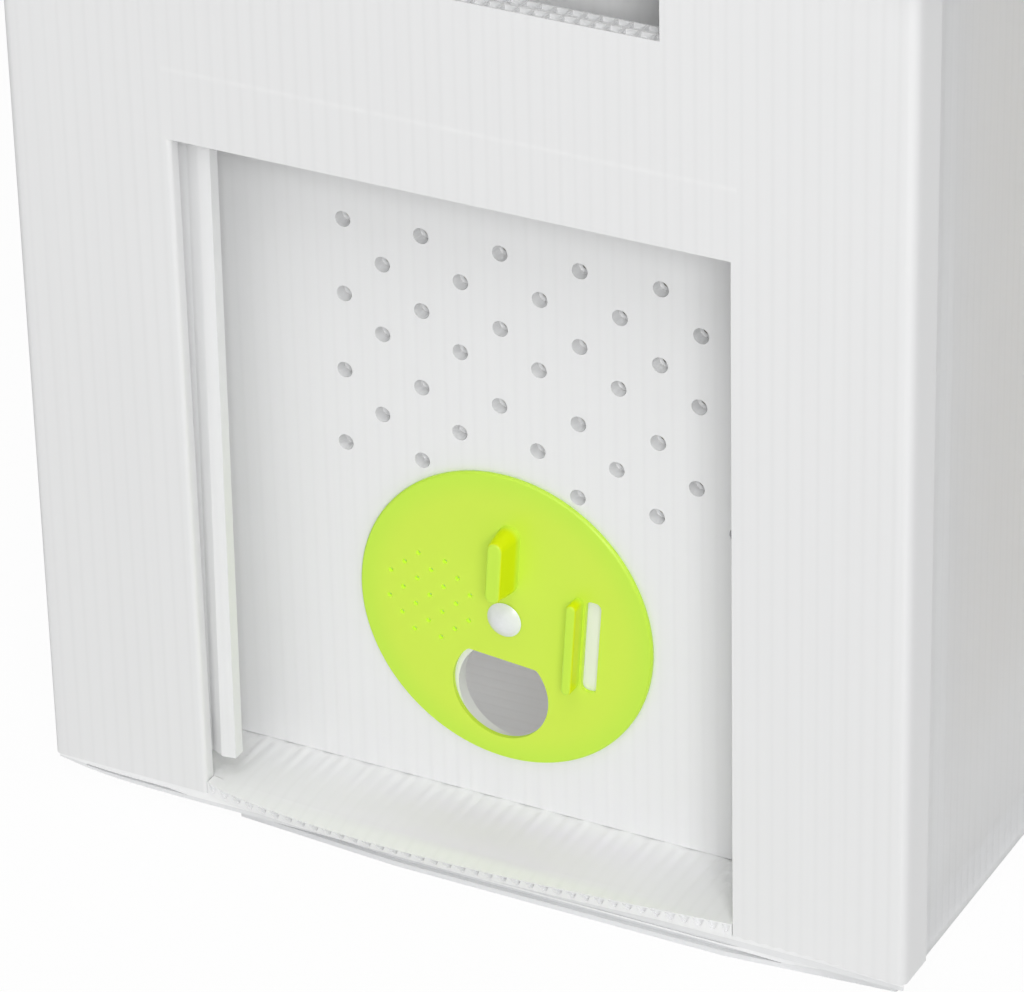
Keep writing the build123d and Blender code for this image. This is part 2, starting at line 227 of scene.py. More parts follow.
def open_flutes(bm, way, depth=FLUTE_DEPTH, pinch=0.0):
    """Hollows the cut ends of the flutes that face along y (1) or against it (-1), leaving skins and ribs.

    A pinch draws the foot of each opening together, as where the ribs are bent over."""
    ends = []
    for face in bm.faces:
        if face.normal.y * way > SQUARE_ON and min(edge.calc_length() for edge in face.edges) > 3 * SKIN:
            ends.append(face)
    bmesh.ops.inset_individual(bm, faces=ends, thickness=SKIN, use_even_offset=True)
    for face in ends:
        middle = face.calc_center_median()
        for vert in face.verts:
            if vert.co.z < middle.z:
                vert.co.x += pinch * (middle.x - vert.co.x)
                vert.co.z += pinch * PINCH_RISE * (middle.z - vert.co.z)
    hollow = bmesh.ops.extrude_discrete_faces(bm, faces=ends)["faces"]
    verts = list({vert for face in hollow for vert in face.verts})
    bmesh.ops.translate(bm, vec=ALONG * (-way * depth), verts=verts)


def open_edge(bm, slit, foot, head):
    """Slits the front edge along a flute, between two levels of its thickness, and pinches the far end."""
    bm.normal_update()
    under = min(vert.co.z for vert in bm.verts)
    for level in slit:
        faces = [face for face in bm.faces if face.normal.x > SQUARE_ON]
        edges = list({edge for face in faces for edge in face.edges})
        verts = list({vert for face in faces for vert in face.verts})
        bmesh.ops.bisect_plane(
            bm, geom=verts + edges + faces, plane_co=(0, 0, under + level), plane_no=(0, 0, 1)
        )
    opened = []
    for face in bm.faces:
        if face.normal.x > SQUARE_ON:
            middle = face.calc_center_median()
            # Faces below the slit's upper level take the second finish, a greyer white that is painted shade;
            # those above keep the sheet's own white.
            face.material_index = 1 if middle.z < under + slit[1] else 2
            if slit[0] < middle.z - under < slit[1] and foot < middle.y < head:
                opened.append(face)
    far = max(vert.co.y for face in opened for vert in face.verts)
    for vert in {vert for face in opened for vert in face.verts}:
        if vert.co.y > far - SKIN:
            vert.co.z = under + slit[0] + SLIT_PINCH * (vert.co.z - under - slit[0])
    hollow = bmesh.ops.extrude_face_region(bm, geom=opened)["geom"]
    verts = [part for part in hollow if isinstance(part, bmesh.types.BMVert)]
    bmesh.ops.translate(bm, vec=ACROSS * -EDGE_DEPTH, verts=verts)
    bmesh.ops.delete(bm, geom=[face for face in opened if face.is_valid], context="FACES_ONLY")


def round_over(bm, edges, radius):
    """Rounds edges of the sheet to that radius."""
    bmesh.ops.bevel(
        bm, geom=edges, offset=radius, affect="EDGES", segments=ROUND_STEPS, profile=0.5, material=-1
    )


def set_down(bm, name, *finishes):
    """Makes the finished bmesh an object of the scene, with its place in its mesh."""
    mesh = bpy.data.meshes.new(name)
    bm.to_mesh(mesh)
    bm.free()
    for finish in finishes:
        mesh.materials.append(finish)
    piece = bpy.data.objects.new(name, mesh)
    bpy.context.scene.collection.objects.link(piece)
    return piece


def put_in(bm, node, turn, *finishes, body="hive"):
    """Sets the finished sheet in place of its CAD node."""
    bm.transform(turn)
    bm.normal_update()
    piece = set_down(bm, node + "_sheet", *finishes)
    piece.data.polygons.foreach_set("use_smooth", [True] * len(piece.data.polygons))
    piece.data.set_sharp_from_angle(angle=SHARP_FOLD)
    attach(piece, body)
    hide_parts(node)


ribs_along_y = fluted_sheet("sheet_ribs_along_y", 1)
# The cut edge's greyer white is painted shade on the flaps' lower front edges and in their slits; the pale
# edge is the sheet's own white.
shaded_edge_finish = fluted_sheet("sheet_cut_edge_painted_shade", 1, glow=EDGE_GLOW, white=EDGE_PAINTED_SHADE)
pale_edge = fluted_sheet("sheet_pale_edge", 1, glow=EDGE_GLOW)
lying = Matrix.Rotation(math.radians(-90), 4, "Z")

lo, hi = flat_box("right_bottom_flap", lying)
bm = blank(lo, hi)
cut(bm, ALONG, lo.y + SLIT_END, lo.y + FREE_END_RUN, hi.y - FOLD_END_RUN, hi.y - RIGHT_SLIT_CLEAR)
thicken(bm)
for vert in bm.verts:
    from_free = min(1.0, (vert.co.y - lo.y) / FREE_END_RUN)
    from_fold = min(1.0, (hi.y - vert.co.y) / FOLD_END_RUN)
    vert.co.x *= 1 - (FREE_END_TAPER * (1 - from_free) + FOLD_END_TAPER * (1 - from_fold)) / hi.x
fold = [edge for edge in bm.edges if all(v.co.y > hi.y - SKIN and v.co.z < lo.z + SKIN for v in edge.verts)]
round_over(bm, fold, BOTTOM_FOLD_RADIUS)
open_flutes(bm, -1)
open_edge(bm, RIGHT_SLIT, lo.y + SLIT_END, hi.y - RIGHT_SLIT_CLEAR)
put_in(bm, "right_bottom_flap", lying, ribs_along_y, shaded_edge_finish, pale_edge)

lo, hi = flat_box("left_bottom_flap", lying)
bm = blank(lo, hi)
cut(bm, ALONG, *(lo.y + SLIT_END * step for step in range(1, LEFT_SLIT_STEPS + 1)), CORNER_SAG_FROM)
thicken(bm)
open_flutes(bm, 1)
open_edge(bm, LEFT_SLIT, lo.y + SLIT_END, lo.y + SLIT_END * LEFT_SLIT_STEPS)
for vert in bm.verts:
    if vert.co.x > hi.x - SKIN:
        if vert.co.y < lo.y + SKIN:
            vert.co.y -= FOLD_TONGUE
        if vert.co.y > hi.y - SKIN:
            vert.co.y += FREE_TONGUE
    sunk = CORNER_SAG * max(0.0, vert.co.y - CORNER_SAG_FROM) / (hi.y + FREE_TONGUE - CORNER_SAG_FROM)
    if vert.co.x > hi.x - 2 * FLUTE:
        vert.co.z -= sunk * (vert.co.z - lo.z) / SHEET
    from_fold = max(0.0, vert.co.y - lo.y)
    crushed = FOLD_CRUSH * math.exp(-from_fold / FOLD_CRUSH_LENGTH)
    vert.co.z += crushed * (hi.z - vert.co.z) / SHEET
    vert.co.x *= 1 - LEFT_FLAP_RELIEF / hi.x * from_fold / (hi.y - lo.y)
put_in(bm, "left_bottom_flap", lying, ribs_along_y, shaded_edge_finish, pale_edge)

# Side walls. Flat panels of the same sheet with upright flutes, cut from the roll with the ends of the
# flutes open. Each carries a bottom flap at its foot, a corner flap at both ends and, on the left, the lid
# at its head.

WALL_GLOW = 0.45


def facing(degrees):
    """Turns a flat blank, x across its flutes and y up them, to face that way; 0 degrees is the front."""
    return Matrix.Rotation(math.radians(degrees), 4, "Z") @ Matrix.Rotation(math.radians(90), 4, "X")


def plain_sheet(node, turn, finish, body="hive", depth=FLUTE_DEPTH):
    """An uncreased rectangle of sheet with both ends of its flutes open."""
    bm = blank(*flat_box(node, turn))
    thicken(bm)
    open_flutes(bm, 1, depth)
    open_flutes(bm, -1, depth)
    put_in(bm, node, turn, finish, body=body)


side_sheet = fluted_sheet("sheet_side_wall", 1, glow=WALL_GLOW)
plain_sheet("left_wall", facing(-90), side_sheet)
plain_sheet("right_wall", facing(90), side_sheet)

# Corner flaps. Narrow flaps folded round from the side walls, which the end walls cover. The left front one
# is the widest and its free edge stands out past the leg of the front wall, a little out of plumb.

FLAP_LEAN = 0.0018
FLAP_LEAN_SPAN = 0.174
FLAP_RIDGE = 0.0033
FLAP_RIDGE_LEAN = 0.0012
FLAP_VALLEY = 0.0022
FLAP_VALLEY_LEAN = 0.0010
FLAP_TURN_BACK = 0.0006
FLAP_LOOSE_HEAD = 0.196
LINER_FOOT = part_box("front_liner")[0].z
WINDOW_HALF = 0.074
DOUBLED_GLOW = 0.20

ribs_along_x = fluted_sheet("sheet_ribs_along_x", 0, glow=DOUBLED_GLOW)
for flap, way in (("right_front_flap", 0), ("left_back_flap", 180), ("right_back_flap", 180)):
    plain_sheet(flap, facing(way), ribs_along_x)

lo, hi = flat_box("left_front_flap", facing(0))
bm = blank(lo, hi)
ridge = hi.x - FLAP_RIDGE
cut(bm, ACROSS, -WINDOW_HALF, ridge)
cut(bm, ALONG, FLAP_LOOSE_HEAD, LINER_FOOT)
thicken(bm)
open_flutes(bm, -1)
for vert in bm.verts:
    if vert.co.y > LINER_FOOT - SKIN:
        continue
    above = (vert.co.y - lo.y) / FLAP_LEAN_SPAN - 0.5
    if vert.co.x > ridge + SKIN:
        vert.co.z -= FLAP_TURN_BACK
    elif vert.co.x > ridge - SKIN:
        vert.co.x += FLAP_RIDGE_LEAN * above
    elif vert.co.x > -WINDOW_HALF - 2 * FLUTE:
        valley = FLAP_VALLEY + FLAP_VALLEY_LEAN * above
        vert.co.z -= valley * min(1.0, (ridge - vert.co.x) / (ridge + WINDOW_HALF))
    vert.co.x += FLAP_LEAN * above * (vert.co.x - lo.x) / (hi.x - lo.x)
put_in(bm, "left_front_flap", facing(0), ribs_along_x)

# End walls. Outer sheets folded up from the blank's ends, with a return round each corner over the side
# wall. Both have a handhold slot; the front one also has the large window of the porch, which leaves two
# legs and a lintel.

RETURN_STEPS = 3
CORNER_RADIUS = 0.0025
NOTCH_HEAD = 0.283
WINDOW_HEAD = 0.1914
HANDHOLD_HALF = 0.0565
HANDHOLD_FOOT = 0.243
HANDHOLD_HEAD = 0.263
PUNCHED_DEPTH = 0.0012
FOOT_SCALLOP = 0.0005
WINDOW_EDGE_RADIUS = 0.0012
CREASE_HALF = 0.0007
CREASE_REACH = 0.0755
CREASE_DASHES = (420, 1, 1)
CREASE_STRENGTH = 0.4
PURE_WHITE = (1, 1, 1, 1)
MARK_RELIEF = 12.0
TOUCH = 1e-5
FRONT_GLOW = 0.05
# The end walls' white below is greyer than the sheet's: painted shade, which takes the edge off the stronger
# light on the front wall; the back wall shares it.
END_WALL_PAINTED_SHADE = (0.890, 0.893, 0.896, 1)


def bell(start, distance, half):
    """1 where the distance is nothing, falling away on both sides over about that half width."""
    return start.math("EXPONENT", (distance / half) ** 2.0 * -1.0)


def creased_front(start, place, axes):
    """The broken pale line where the sheet is bruised along the foot of the liner behind it."""
    line = bell(start, axes[2] - LINER_FOOT, CREASE_HALF)
    reach = start.math("LESS_THAN", start.math("ABSOLUTE", axes[0]), CREASE_REACH)
    front = start.math("LESS_THAN", axes[1], 0.0)
    dashes = speckle(start, place, CREASE_DASHES)
    return line * reach * front * dashes * CREASE_STRENGTH, PURE_WHITE, MARK_RELIEF


# This finish carries the end walls' painted shade, a greyer white, besides the pale bruised line.
bruised_and_shaded_front = fluted_sheet("sheet_bruised_and_shaded_front", 0, creased_front, FRONT_GLOW, END_WALL_PAINTED_SHADE)


def knock_out(bm, left, right, foot, head):
    """Cuts a rectangle out of the blank."""
    cut(bm, ALONG, foot, head)
    cut(bm, ACROSS, left, right, between=(foot, head))
    waste = []
    for face in bm.faces:
        middle = face.calc_center_median()
        if left < middle.x < right and foot < middle.y < head:
            waste.append(face)
    bmesh.ops.delete(bm, geom=waste, context="FACES")


def fold_returns(bm, half, depth):
    """Grows the blank's side edges back round the corners, notches their heads and turns the faces out."""
    for side in (-1, 1):
        rim = [edge for edge in bm.edges if all(vert.co.x * side > half - SKIN for vert in edge.verts)]
        for step in range(RETURN_STEPS):
            grown = bmesh.ops.extrude_edge_only(bm, edges=rim)["geom"]
            verts = [part for part in grown if isinstance(part, bmesh.types.BMVert)]
            rim = [part for part in grown if isinstance(part, bmesh.types.BMEdge)]
            rim = [edge for edge in rim if all(vert in verts for vert in edge.verts)]
            bmesh.ops.translate(bm, vec=(0, 0, -depth / RETURN_STEPS), verts=verts)
    bmesh.ops.recalc_face_normals(bm, faces=bm.faces)
    if max(bm.faces, key=lambda face: face.calc_area()).normal.z < 0:
        bmesh.ops.reverse_faces(bm, faces=bm.faces)
    waste = []
    for face in bm.faces:
        middle = face.calc_center_median()
        if abs(middle.x) > half - SHEET and middle.y > NOTCH_HEAD:
            waste.append(face)
    bmesh.ops.delete(bm, geom=waste, context="FACES")
    bm.normal_update()


def on_corner(vert, half):
    """Whether a point lies on the fold between the wall and a return."""
    return abs(vert.co.x) > half - TOUCH


def on_left_leg(vert):
    """Whether a point lies on the left leg's edge, beside the window."""
    return abs(vert.co.x + WINDOW_HALF) < TOUCH and vert.co.y < WINDOW_HEAD + TOUCH


def end_wall(node, turn, finish, window):
    """An end wall with its returns and handhold and, at the front, the window and a sagging right corner."""
    lo, hi = flat_box(node, turn)
    half = hi.x
    bm = blank(lo, hi)
    knock_out(bm, -HANDHOLD_HALF, HANDHOLD_HALF, HANDHOLD_FOOT, HANDHOLD_HEAD)
    if window:
        knock_out(bm, -WINDOW_HALF, WINDOW_HALF, lo.y - SHEET, WINDOW_HEAD)
    cut(bm, ALONG, NOTCH_HEAD)
    foot = [edge for edge in bm.edges if all(vert.co.y < lo.y + SKIN for vert in edge.verts)]
    for part in bmesh.ops.subdivide_edges(bm, edges=foot, cuts=1)["geom_inner"]:
        if isinstance(part, bmesh.types.BMVert) and part.co.x > 0:
            part.co.y += FOOT_SCALLOP
    fold_returns(bm, half, hi.z - lo.z)
    thicken(bm)
    outer = [edge for edge in bm.edges if all(vert.co.z > hi.z - TOUCH for vert in edge.verts)]
    corners = [edge for edge in outer if all(on_corner(vert, half) for vert in edge.verts)]
    leg_edge = []
    if window:
        cut_edges = [edge for edge in outer if edge.calc_face_angle(0.0) > 1.0]
        leg_edge = [edge for edge in cut_edges if all(on_left_leg(vert) for vert in edge.verts)]
    round_over(bm, corners, CORNER_RADIUS)
    round_over(bm, leg_edge, WINDOW_EDGE_RADIUS)
    if window:
        for vert in bm.verts:
            if vert.co.y < lo.y + 2 * FOOT_SCALLOP and vert.co.x > CORNER_SAG_FROM:
                vert.co.y -= CORNER_SAG * (vert.co.x - CORNER_SAG_FROM) / (half - CORNER_SAG_FROM)
    bm.normal_update()
    open_flutes(bm, 1, PUNCHED_DEPTH)
    open_flutes(bm, -1)
    put_in(bm, node, turn, finish)


end_wall("front_wall", facing(0), bruised_and_shaded_front, True)
end_wall("back_wall", facing(180), bruised_and_shaded_front, False)

# Liners. A second sheet behind each end wall at the handhold, with the same slot through it, so that the
# fingers bear on two thicknesses and two rows of open flutes show along the slot's lower edge.


def liner(node, turn):
    """A liner, whose handhold is punched through with the wall's."""
    bm = blank(*flat_box(node, turn))
    knock_out(bm, -HANDHOLD_HALF, HANDHOLD_HALF, HANDHOLD_FOOT, HANDHOLD_HEAD)
    thicken(bm)
    open_flutes(bm, 1, PUNCHED_DEPTH)
    open_flutes(bm, -1)
    put_in(bm, node, turn, ribs_along_x)


liner("front_liner", facing(0))
liner("back_liner", facing(180))

# Inner panels and frame rests. An upright panel across each end, creased and folded at its head into the
# rest that carries the frame lugs; the front one is drilled with vents and the round doorway behind the
# disc.

PANEL_GLOW = 0.10
PANEL_FRONT_LOW, PANEL_BACK_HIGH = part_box("front_inner_panel")
STREAKS = (330, 1, 4)
STREAKS_FROM = 0.45
STREAK_STRENGTH = 3.0
STREAK_FADE = 160.0
VENT_RADIUS = 0.0021
VENT_COLUMNS = 6
VENT_PITCH = 0.0214
VENT_LEFT = -0.0427
VENT_ROWS = {
    0.1034: -0.0012,
    0.1137: -0.0012,
    0.1238: -0.0007,
    0.1361: -0.0004,
    0.1450: 0.0,
    0.1553: 0.0002,
    0.1654: 0.0004,
}
DISC_LOW, DISC_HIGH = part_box("entrance_disc")
DISC_PIVOT = (DISC_LOW + DISC_HIGH) / 2
DISC_RADIUS = (DISC_HIGH.x - DISC_LOW.x) / 2
BURR_REACH = 0.00062
BURR_DEPTH = 0.0006
BURR_SKIN = 0.0002
BURR_SIDES = 20


def crushed_foot(start, place, axes):
    """Pale upright streaks where the flutes are crushed at the fold along the panel's foot."""
    fade = start.math("EXPONENT", (axes[2] - PANEL_FRONT_LOW.z) * -STREAK_FADE)
    streaks = (speckle(start, place, STREAKS, 1.0) - STREAKS_FROM) * STREAK_STRENGTH
    return start.math("MAXIMUM", streaks, 0.0) * fade, PURE_WHITE, MARK_RELIEF


def dress(finish, *names):
    """Gives CAD nodes that keep their shape this finish."""
    for name in names:
        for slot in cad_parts[name].material_slots:
            slot.material = finish


panel_sheet = fluted_sheet("sheet_crushed_foot", 0, crushed_foot, PANEL_GLOW)
dress(panel_sheet, "front_inner_panel")

bm = bmesh.new()
for row, (height, drift) in enumerate(VENT_ROWS.items()):
    for column in range(VENT_COLUMNS - row % 2):
        across = VENT_LEFT + drift + (column + row % 2 / 2) * VENT_PITCH
        if math.hypot(across - DISC_PIVOT.x, height - DISC_PIVOT.z) < DISC_RADIUS + VENT_RADIUS:
            continue
        spot = Matrix.Translation((across, PANEL_BACK_HIGH.y + BURR_DEPTH / 2, height))
        bmesh.ops.create_cone(
            bm,
            cap_ends=False,
            segments=BURR_SIDES,
            radius1=VENT_RADIUS,
            radius2=VENT_RADIUS - BURR_REACH,
            depth=BURR_DEPTH,
            matrix=spot @ Matrix.Rotation(math.radians(-90), 4, "X"),
        )
bmesh.ops.solidify(bm, geom=bm.faces[:], thickness=BURR_SKIN)
burrs = set_down(bm, "vent_burrs", panel_sheet)
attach(burrs, "hive")

dress(ribs_along_x, "back_inner_panel", "back_floor_flange")
dress(fluted_sheet("sheet_frame_rest", 0), "front_frame_rest", "back_frame_rest")

# Porch floor. The front panel's lower flange, folded forward between the legs and left loose: the flutes
# are crushed into ridges at the fold, and the free edge bellies forward and droops between the legs, with
# its flutes open.

PORCH_GLOW = 0.06
# The violet tint below is a painted counter-tint that cancels the green light bounced from the disc onto the
# middle of the floor.
BOUNCE_COUNTERTINT = (0.922, 0.884, 0.990, 1)
COUNTERTINT_MIDDLE = 0.004
COUNTERTINT_HALF = 0.042
COUNTERTINT_FROM_FOLD = -0.2450
COUNTERTINT_FROM_LIP = (-0.2615, -0.2580)
PORCH_LIP_HALF = 0.0737
PORCH_LEG_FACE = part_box("front_wall")[0].y + SHEET
PORCH_FOLD = PANEL_FRONT_LOW.y
PORCH_ROWS = (-0.2361, -0.2368, -0.2378, -0.2392, -0.2412, -0.2438, -0.2470)
LIP_ROWS = (-0.2500, -0.2520, -0.2540, -0.2558, -0.2574, -0.2590, -0.2602)
LIP_DEPTH = 0.0009
LIP_PINCH = 0.70
DROOP_FROM = LIP_ROWS[0]
DROOP = 0.0031
BELLY = 0.0025
BELLY_LEFT = 0.7
RIDGE_CUTS = 5
RIDGE = 0.00023
RIDGE_REACH = 0.0036
RIDGE_CHANGE = 2.4
FOLD_DIP = 0.00030
FOLD_REACH = 0.0016
FOLD_WAVE = 2.1


def soft_step(start, value, low, high):
    """0 at the low value, rising softly to 1 at the high one."""
    return start.node("ShaderNodeMapRange", {"interpolation_type": "SMOOTHSTEP"}, {0: value, 1: low, 2: high})


def painted_bounce_countertint(start, place, axes):
    """Painted counter-tint: a faint violet over the middle of the floor, which cancels the green light the
    disc bounces onto it.
    """
    across = bell(start, axes[0] - COUNTERTINT_MIDDLE, COUNTERTINT_HALF)
    from_fold = soft_step(start, axes[1], PORCH_FOLD, COUNTERTINT_FROM_FOLD)
    from_lip = soft_step(start, axes[1], *COUNTERTINT_FROM_LIP)
    return across * from_fold * from_lip, BOUNCE_COUNTERTINT, 0.0


lo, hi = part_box("porch_floor")
bm = blank(lo, hi)
column = (hi.x - lo.x) / round((hi.x - lo.x) / FLUTE)
for side in (-1, 1):
    ends = sorted((side * PORCH_LIP_HALF, side * 2 * hi.x))
    knock_out(bm, ends[0], ends[1], lo.y - SHEET, PORCH_LEG_FACE)
cut(bm, ALONG, *PORCH_ROWS)
cut(bm, ALONG, *LIP_ROWS)
thicken(bm)
open_flutes(bm, -1, LIP_DEPTH, LIP_PINCH)
top = [edge for edge in bm.edges if all(vert.co.z > hi.z - TOUCH for vert in edge.verts)]
rows = [edge for edge in top if abs(edge.verts[0].co.y - edge.verts[1].co.y) < TOUCH]
bmesh.ops.subdivide_edges(bm, edges=rows, cuts=RIDGE_CUTS, use_grid_fill=True)
for vert in bm.verts:
    out = max(0.0, DROOP_FROM - vert.co.y) / (DROOP_FROM - lo.y)
    span = min(1.0, max(0.0, (vert.co.x + PORCH_LIP_HALF) / (2 * PORCH_LIP_HALF)))
    belly = math.sin(math.pi * span ** BELLY_LEFT)
    tilt = math.atan(2 * DROOP * belly * out / (DROOP_FROM - lo.y))
    depth = hi.z - vert.co.z
    if vert.co.z > hi.z - TOUCH:
        away = max(0.0, PORCH_FOLD - vert.co.y)
        flute = (vert.co.x - lo.x) / column
        uneven = 0.65 + 0.35 * math.sin(round(flute) * RIDGE_CHANGE)
        rise = away / RIDGE_REACH * math.exp(1 - away / RIDGE_REACH)
        ridge = RIDGE * uneven * math.cos(2 * math.pi * flute) * rise
        wave = 0.7 + 0.5 * math.sin(flute * FOLD_WAVE)
        vert.co.z += ridge - FOLD_DIP * wave * math.exp(-away / FOLD_REACH)
    vert.co.y += depth * math.sin(tilt) - BELLY * belly * out ** 2
    vert.co.z += depth * (1 - math.cos(tilt)) - DROOP * belly * out ** 2
# The porch finish carries the painted violet counter-tint against the disc's green bounce.
porch_sheet = fluted_sheet("sheet_porch_floor_countertinted", 0, painted_bounce_countertint, PORCH_GLOW)
put_in(bm, "porch_floor", Matrix.Identity(4), porch_sheet)

# Entrance disc. One moulding of fluorescent lime plastic, turned by its grip to set one of four openings
# before the doorway. The light that its dye gathers leaves at the edges, so the rim and the crests are
# brighter green. The grips' side faces are a deeper yellow, painted shade; the vents' walls carry a painted
# glow that lifts the shade in the holes, and the whole disc a faint painted glow for its fluorescence.

DISC_LIME = (0.795, 0.960, 0.095, 1)
DISC_EDGE = (0.700, 0.950, 0.085, 1)
# The deep yellow below is painted shade for the side faces of the grips and ribs.
DISC_SIDE_PAINTED_SHADE = (0.875, 0.910, 0.000, 1)
DISC_GLOW = 0.22
# The two glows below are painted glow: a faint one over the whole disc for its fluorescence, a stronger one
# on the vents' walls that lifts the shade in the holes.
DISC_PAINTED_GLOW = (0.02, 0.10, 0.00, 1)
VENT_PAINTED_GLOW = (0.30, 0.54, 0.03, 1)
DISC_PAINTED_GLOW_STRENGTH = 0.5
DISC_VENTS = (-0.0209, 0.0662)
DISC_VENTS_REACH = 0.0165
DISC_THICKNESS = 0.0012
DISC_FACE = DISC_HIGH.y - DISC_THICKNESS
BEHIND_FACE = 0.0001
RIM_WIDTH = 0.009
RIM_PAST = 0.001
CREST = (0.0034, 0.0046)
GRIP_WALL = (0.0002, 0.0024)
FACES_OUT = (0.35, 0.90)
DISC_GRAIN = (160, 160, 160)
DISC_RELIEF = 0.00006


def out_from(axes, x, z):
    """How far a place on the disc lies from that point of its face."""
    return ((axes[0] - x) ** 2.0 + (axes[2] - z) ** 2.0) ** 0.5


lime, start, place, axes = new_finish("lime_disc_plastic")
radius = out_from(axes, DISC_PIVOT.x, DISC_PIVOT.z)
raised = DISC_FACE - axes[1]
rim = soft_step(start, radius, DISC_RADIUS - RIM_WIDTH, DISC_RADIUS + RIM_PAST)
crest = soft_step(start, raised, *CREST)
wall = soft_step(start, raised, *GRIP_WALL)
grain = speckle(start, place, DISC_GRAIN, 3.0)
normal = start.node("ShaderNodeTexCoord", {}, {}, "Normal")
front = start.node("ShaderNodeVectorMath", {"operation": "DOT_PRODUCT"}, {0: normal, 1: (0, -1, 0)}, "Value")
top = soft_step(start, front, *FACES_OUT)
colour = start.mix(DISC_LIME, DISC_EDGE, start.math("MAXIMUM", rim, crest * top))
# Painted shade: the raised grips' and ribs' side faces take a deeper yellow, the tone of a shaded side.
colour = start.mix(colour, DISC_SIDE_PAINTED_SHADE, wall * (1 - top))
# Painted glow: sideways faces behind the disc's face near the vents glow brighter green, lifting the shade in
# the holes; elsewhere a faint painted glow.
near = start.math("LESS_THAN", out_from(axes, *DISC_VENTS), DISC_VENTS_REACH)
side = 1 - soft_step(start, start.math("ABSOLUTE", front), *FACES_OUT)
behind = start.math("GREATER_THAN", axes[1], DISC_FACE + BEHIND_FACE)
painted_glow = start.mix(DISC_PAINTED_GLOW, VENT_PAINTED_GLOW, near * side * behind)
bump = start.node("ShaderNodeBump", {}, {"Strength": 0.25, "Distance": DISC_RELIEF, "Height": grain})
moulding = start.node(
    "ShaderNodeBsdfPrincipled",
    {},
    {
        "Base Color": colour,
        "Roughness": 0.34 + 0.10 * grain,
        "Normal": bump,
        "IOR": PLASTIC_IOR,
        "Emission Color": painted_glow,
        "Emission Strength": DISC_PAINTED_GLOW_STRENGTH,
    },
)
shine_through(start, moulding, {"Color": DISC_LIME}, DISC_GLOW)
dress(lime, "entrance_disc")

# Pivot rivet. A white domed rivet of hard glossy plastic, pressed through the disc's middle and the panel,
# where its tail spreads behind the sheet. The disc turns on its shank.

RIVET_WHITE = (0.880, 0.900, 0.905, 1)
RIVET_SHADE = (0.740, 0.770, 0.780, 1)
RIVET_SCUFFS = (900, 900, 900)


def solid_finish(start, sockets):
    """Ends a material that lets no light through."""
    skin = start.node("ShaderNodeBsdfPrincipled", {}, sockets)
    start.node("ShaderNodeOutputMaterial", {}, {"Surface": skin})


rivet, start, place, axes = new_finish("white_rivet_plastic")
scuffs = speckle(start, place, RIVET_SCUFFS, 3.0)
colour = start.mix(RIVET_SHADE, RIVET_WHITE, 0.5 + scuffs * 0.6)
solid_finish(start, {"Base Color": colour, "Roughness": 0.16 + 0.14 * scuffs, "IOR": 1.5})
dress(rivet, "pivot_rivet")

# Comb frames. Six frames of planed pine, nailed at the joints: a lugged top bar, two side bars and a bottom
# bar round a sheet of beeswax foundation embossed with the bases of the cells.

FRAME_COUNT = 6
PINE_PALE = (0.920, 0.855, 0.735, 1)
PINE_DARK = (0.830, 0.730, 0.570, 1)
WAX_PALE = (0.930, 0.830, 0.540, 1)
WAX_DARK = (0.840, 0.690, 0.360, 1)
WAX_LIT = (0.885, 0.760, 0.450, 1)
WAX_GLOW = 0.4
CELL = 0.0054
WAX_RELIEF = 0.0006
WAX_BLOOM = (60, 60, 60)
PINE_BEND = (3, 40)
PINE_FIBRE = (14, 1400)
PINE_RINGS = 1500.0
PINE_WARP = 14.0
PINE_SLANT = 0.35
PINE_RELIEF = 0.0001
STEEL_SCRATCHES = (1500, 3000, 1500)
STEEL = (0.560, 0.570, 0.580, 1)


def pine(name, along):
    """Planed pine with its grain along that axis."""
    finish, start, place, axes = new_finish(name)
    warp = speckle(start, place, stretched(along, *PINE_BEND), 3.0)
    across = axes[0] if along == 2 else axes[0] + PINE_SLANT * axes[2]
    rings = 0.5 + 0.5 * start.math("SINE", across * PINE_RINGS + warp * PINE_WARP)
    fibre = speckle(start, place, stretched(along, *PINE_FIBRE))
    dark = rings ** 2.0 * 0.55 + fibre * 0.5
    height = fibre - rings * 0.4
    bump = start.node("ShaderNodeBump", {}, {"Strength": 0.4, "Distance": PINE_RELIEF, "Height": height})
    colour = start.mix(PINE_PALE, PINE_DARK, dark)
    solid_finish(start, {"Base Color": colour, "Roughness": 0.55 + 0.2 * fibre, "Normal": bump})
    return finish


pine_lengthwise = pine("pine_lengthwise", 1)
pine_upright = pine("pine_upright", 2)

wax, start, place, axes = new_finish("embossed_wax")
cells = start.math("COSINE", axes[1] * (4 * math.pi / CELL / math.sqrt(3)))
for way in (-1, 1):
    slant = axes[1] * (2 * math.pi / CELL / math.sqrt(3)) + axes[2] * (way * 2 * math.pi / CELL)
    cells = cells + start.math("COSINE", slant)
walls = 1.0 - start.math("MAXIMUM", start.math("MINIMUM", (cells + 1.0) * 0.5, 1.0), 0.0)
bloom = speckle(start, place, WAX_BLOOM, 4.0)
bump = start.node("ShaderNodeBump", {}, {"Strength": 0.8, "Distance": WAX_RELIEF, "Height": walls})
colour = start.mix(WAX_DARK, WAX_PALE, walls * 0.4 + bloom * 0.6)
sheet = start.node(
    "ShaderNodeBsdfPrincipled",
    {},
    {"Base Color": colour, "Roughness": 0.42 + 0.15 * bloom, "Normal": bump},
)
shine_through(start, sheet, {"Color": WAX_LIT, "Normal": bump}, WAX_GLOW)

steel, start, place, axes = new_finish("nail_steel_heads")
scratches = speckle(start, place, STEEL_SCRATCHES, 3.0)
solid_finish(start, {"Base Color": STEEL, "Metallic": 1.0, "Roughness": 0.28 + 0.25 * scratches})

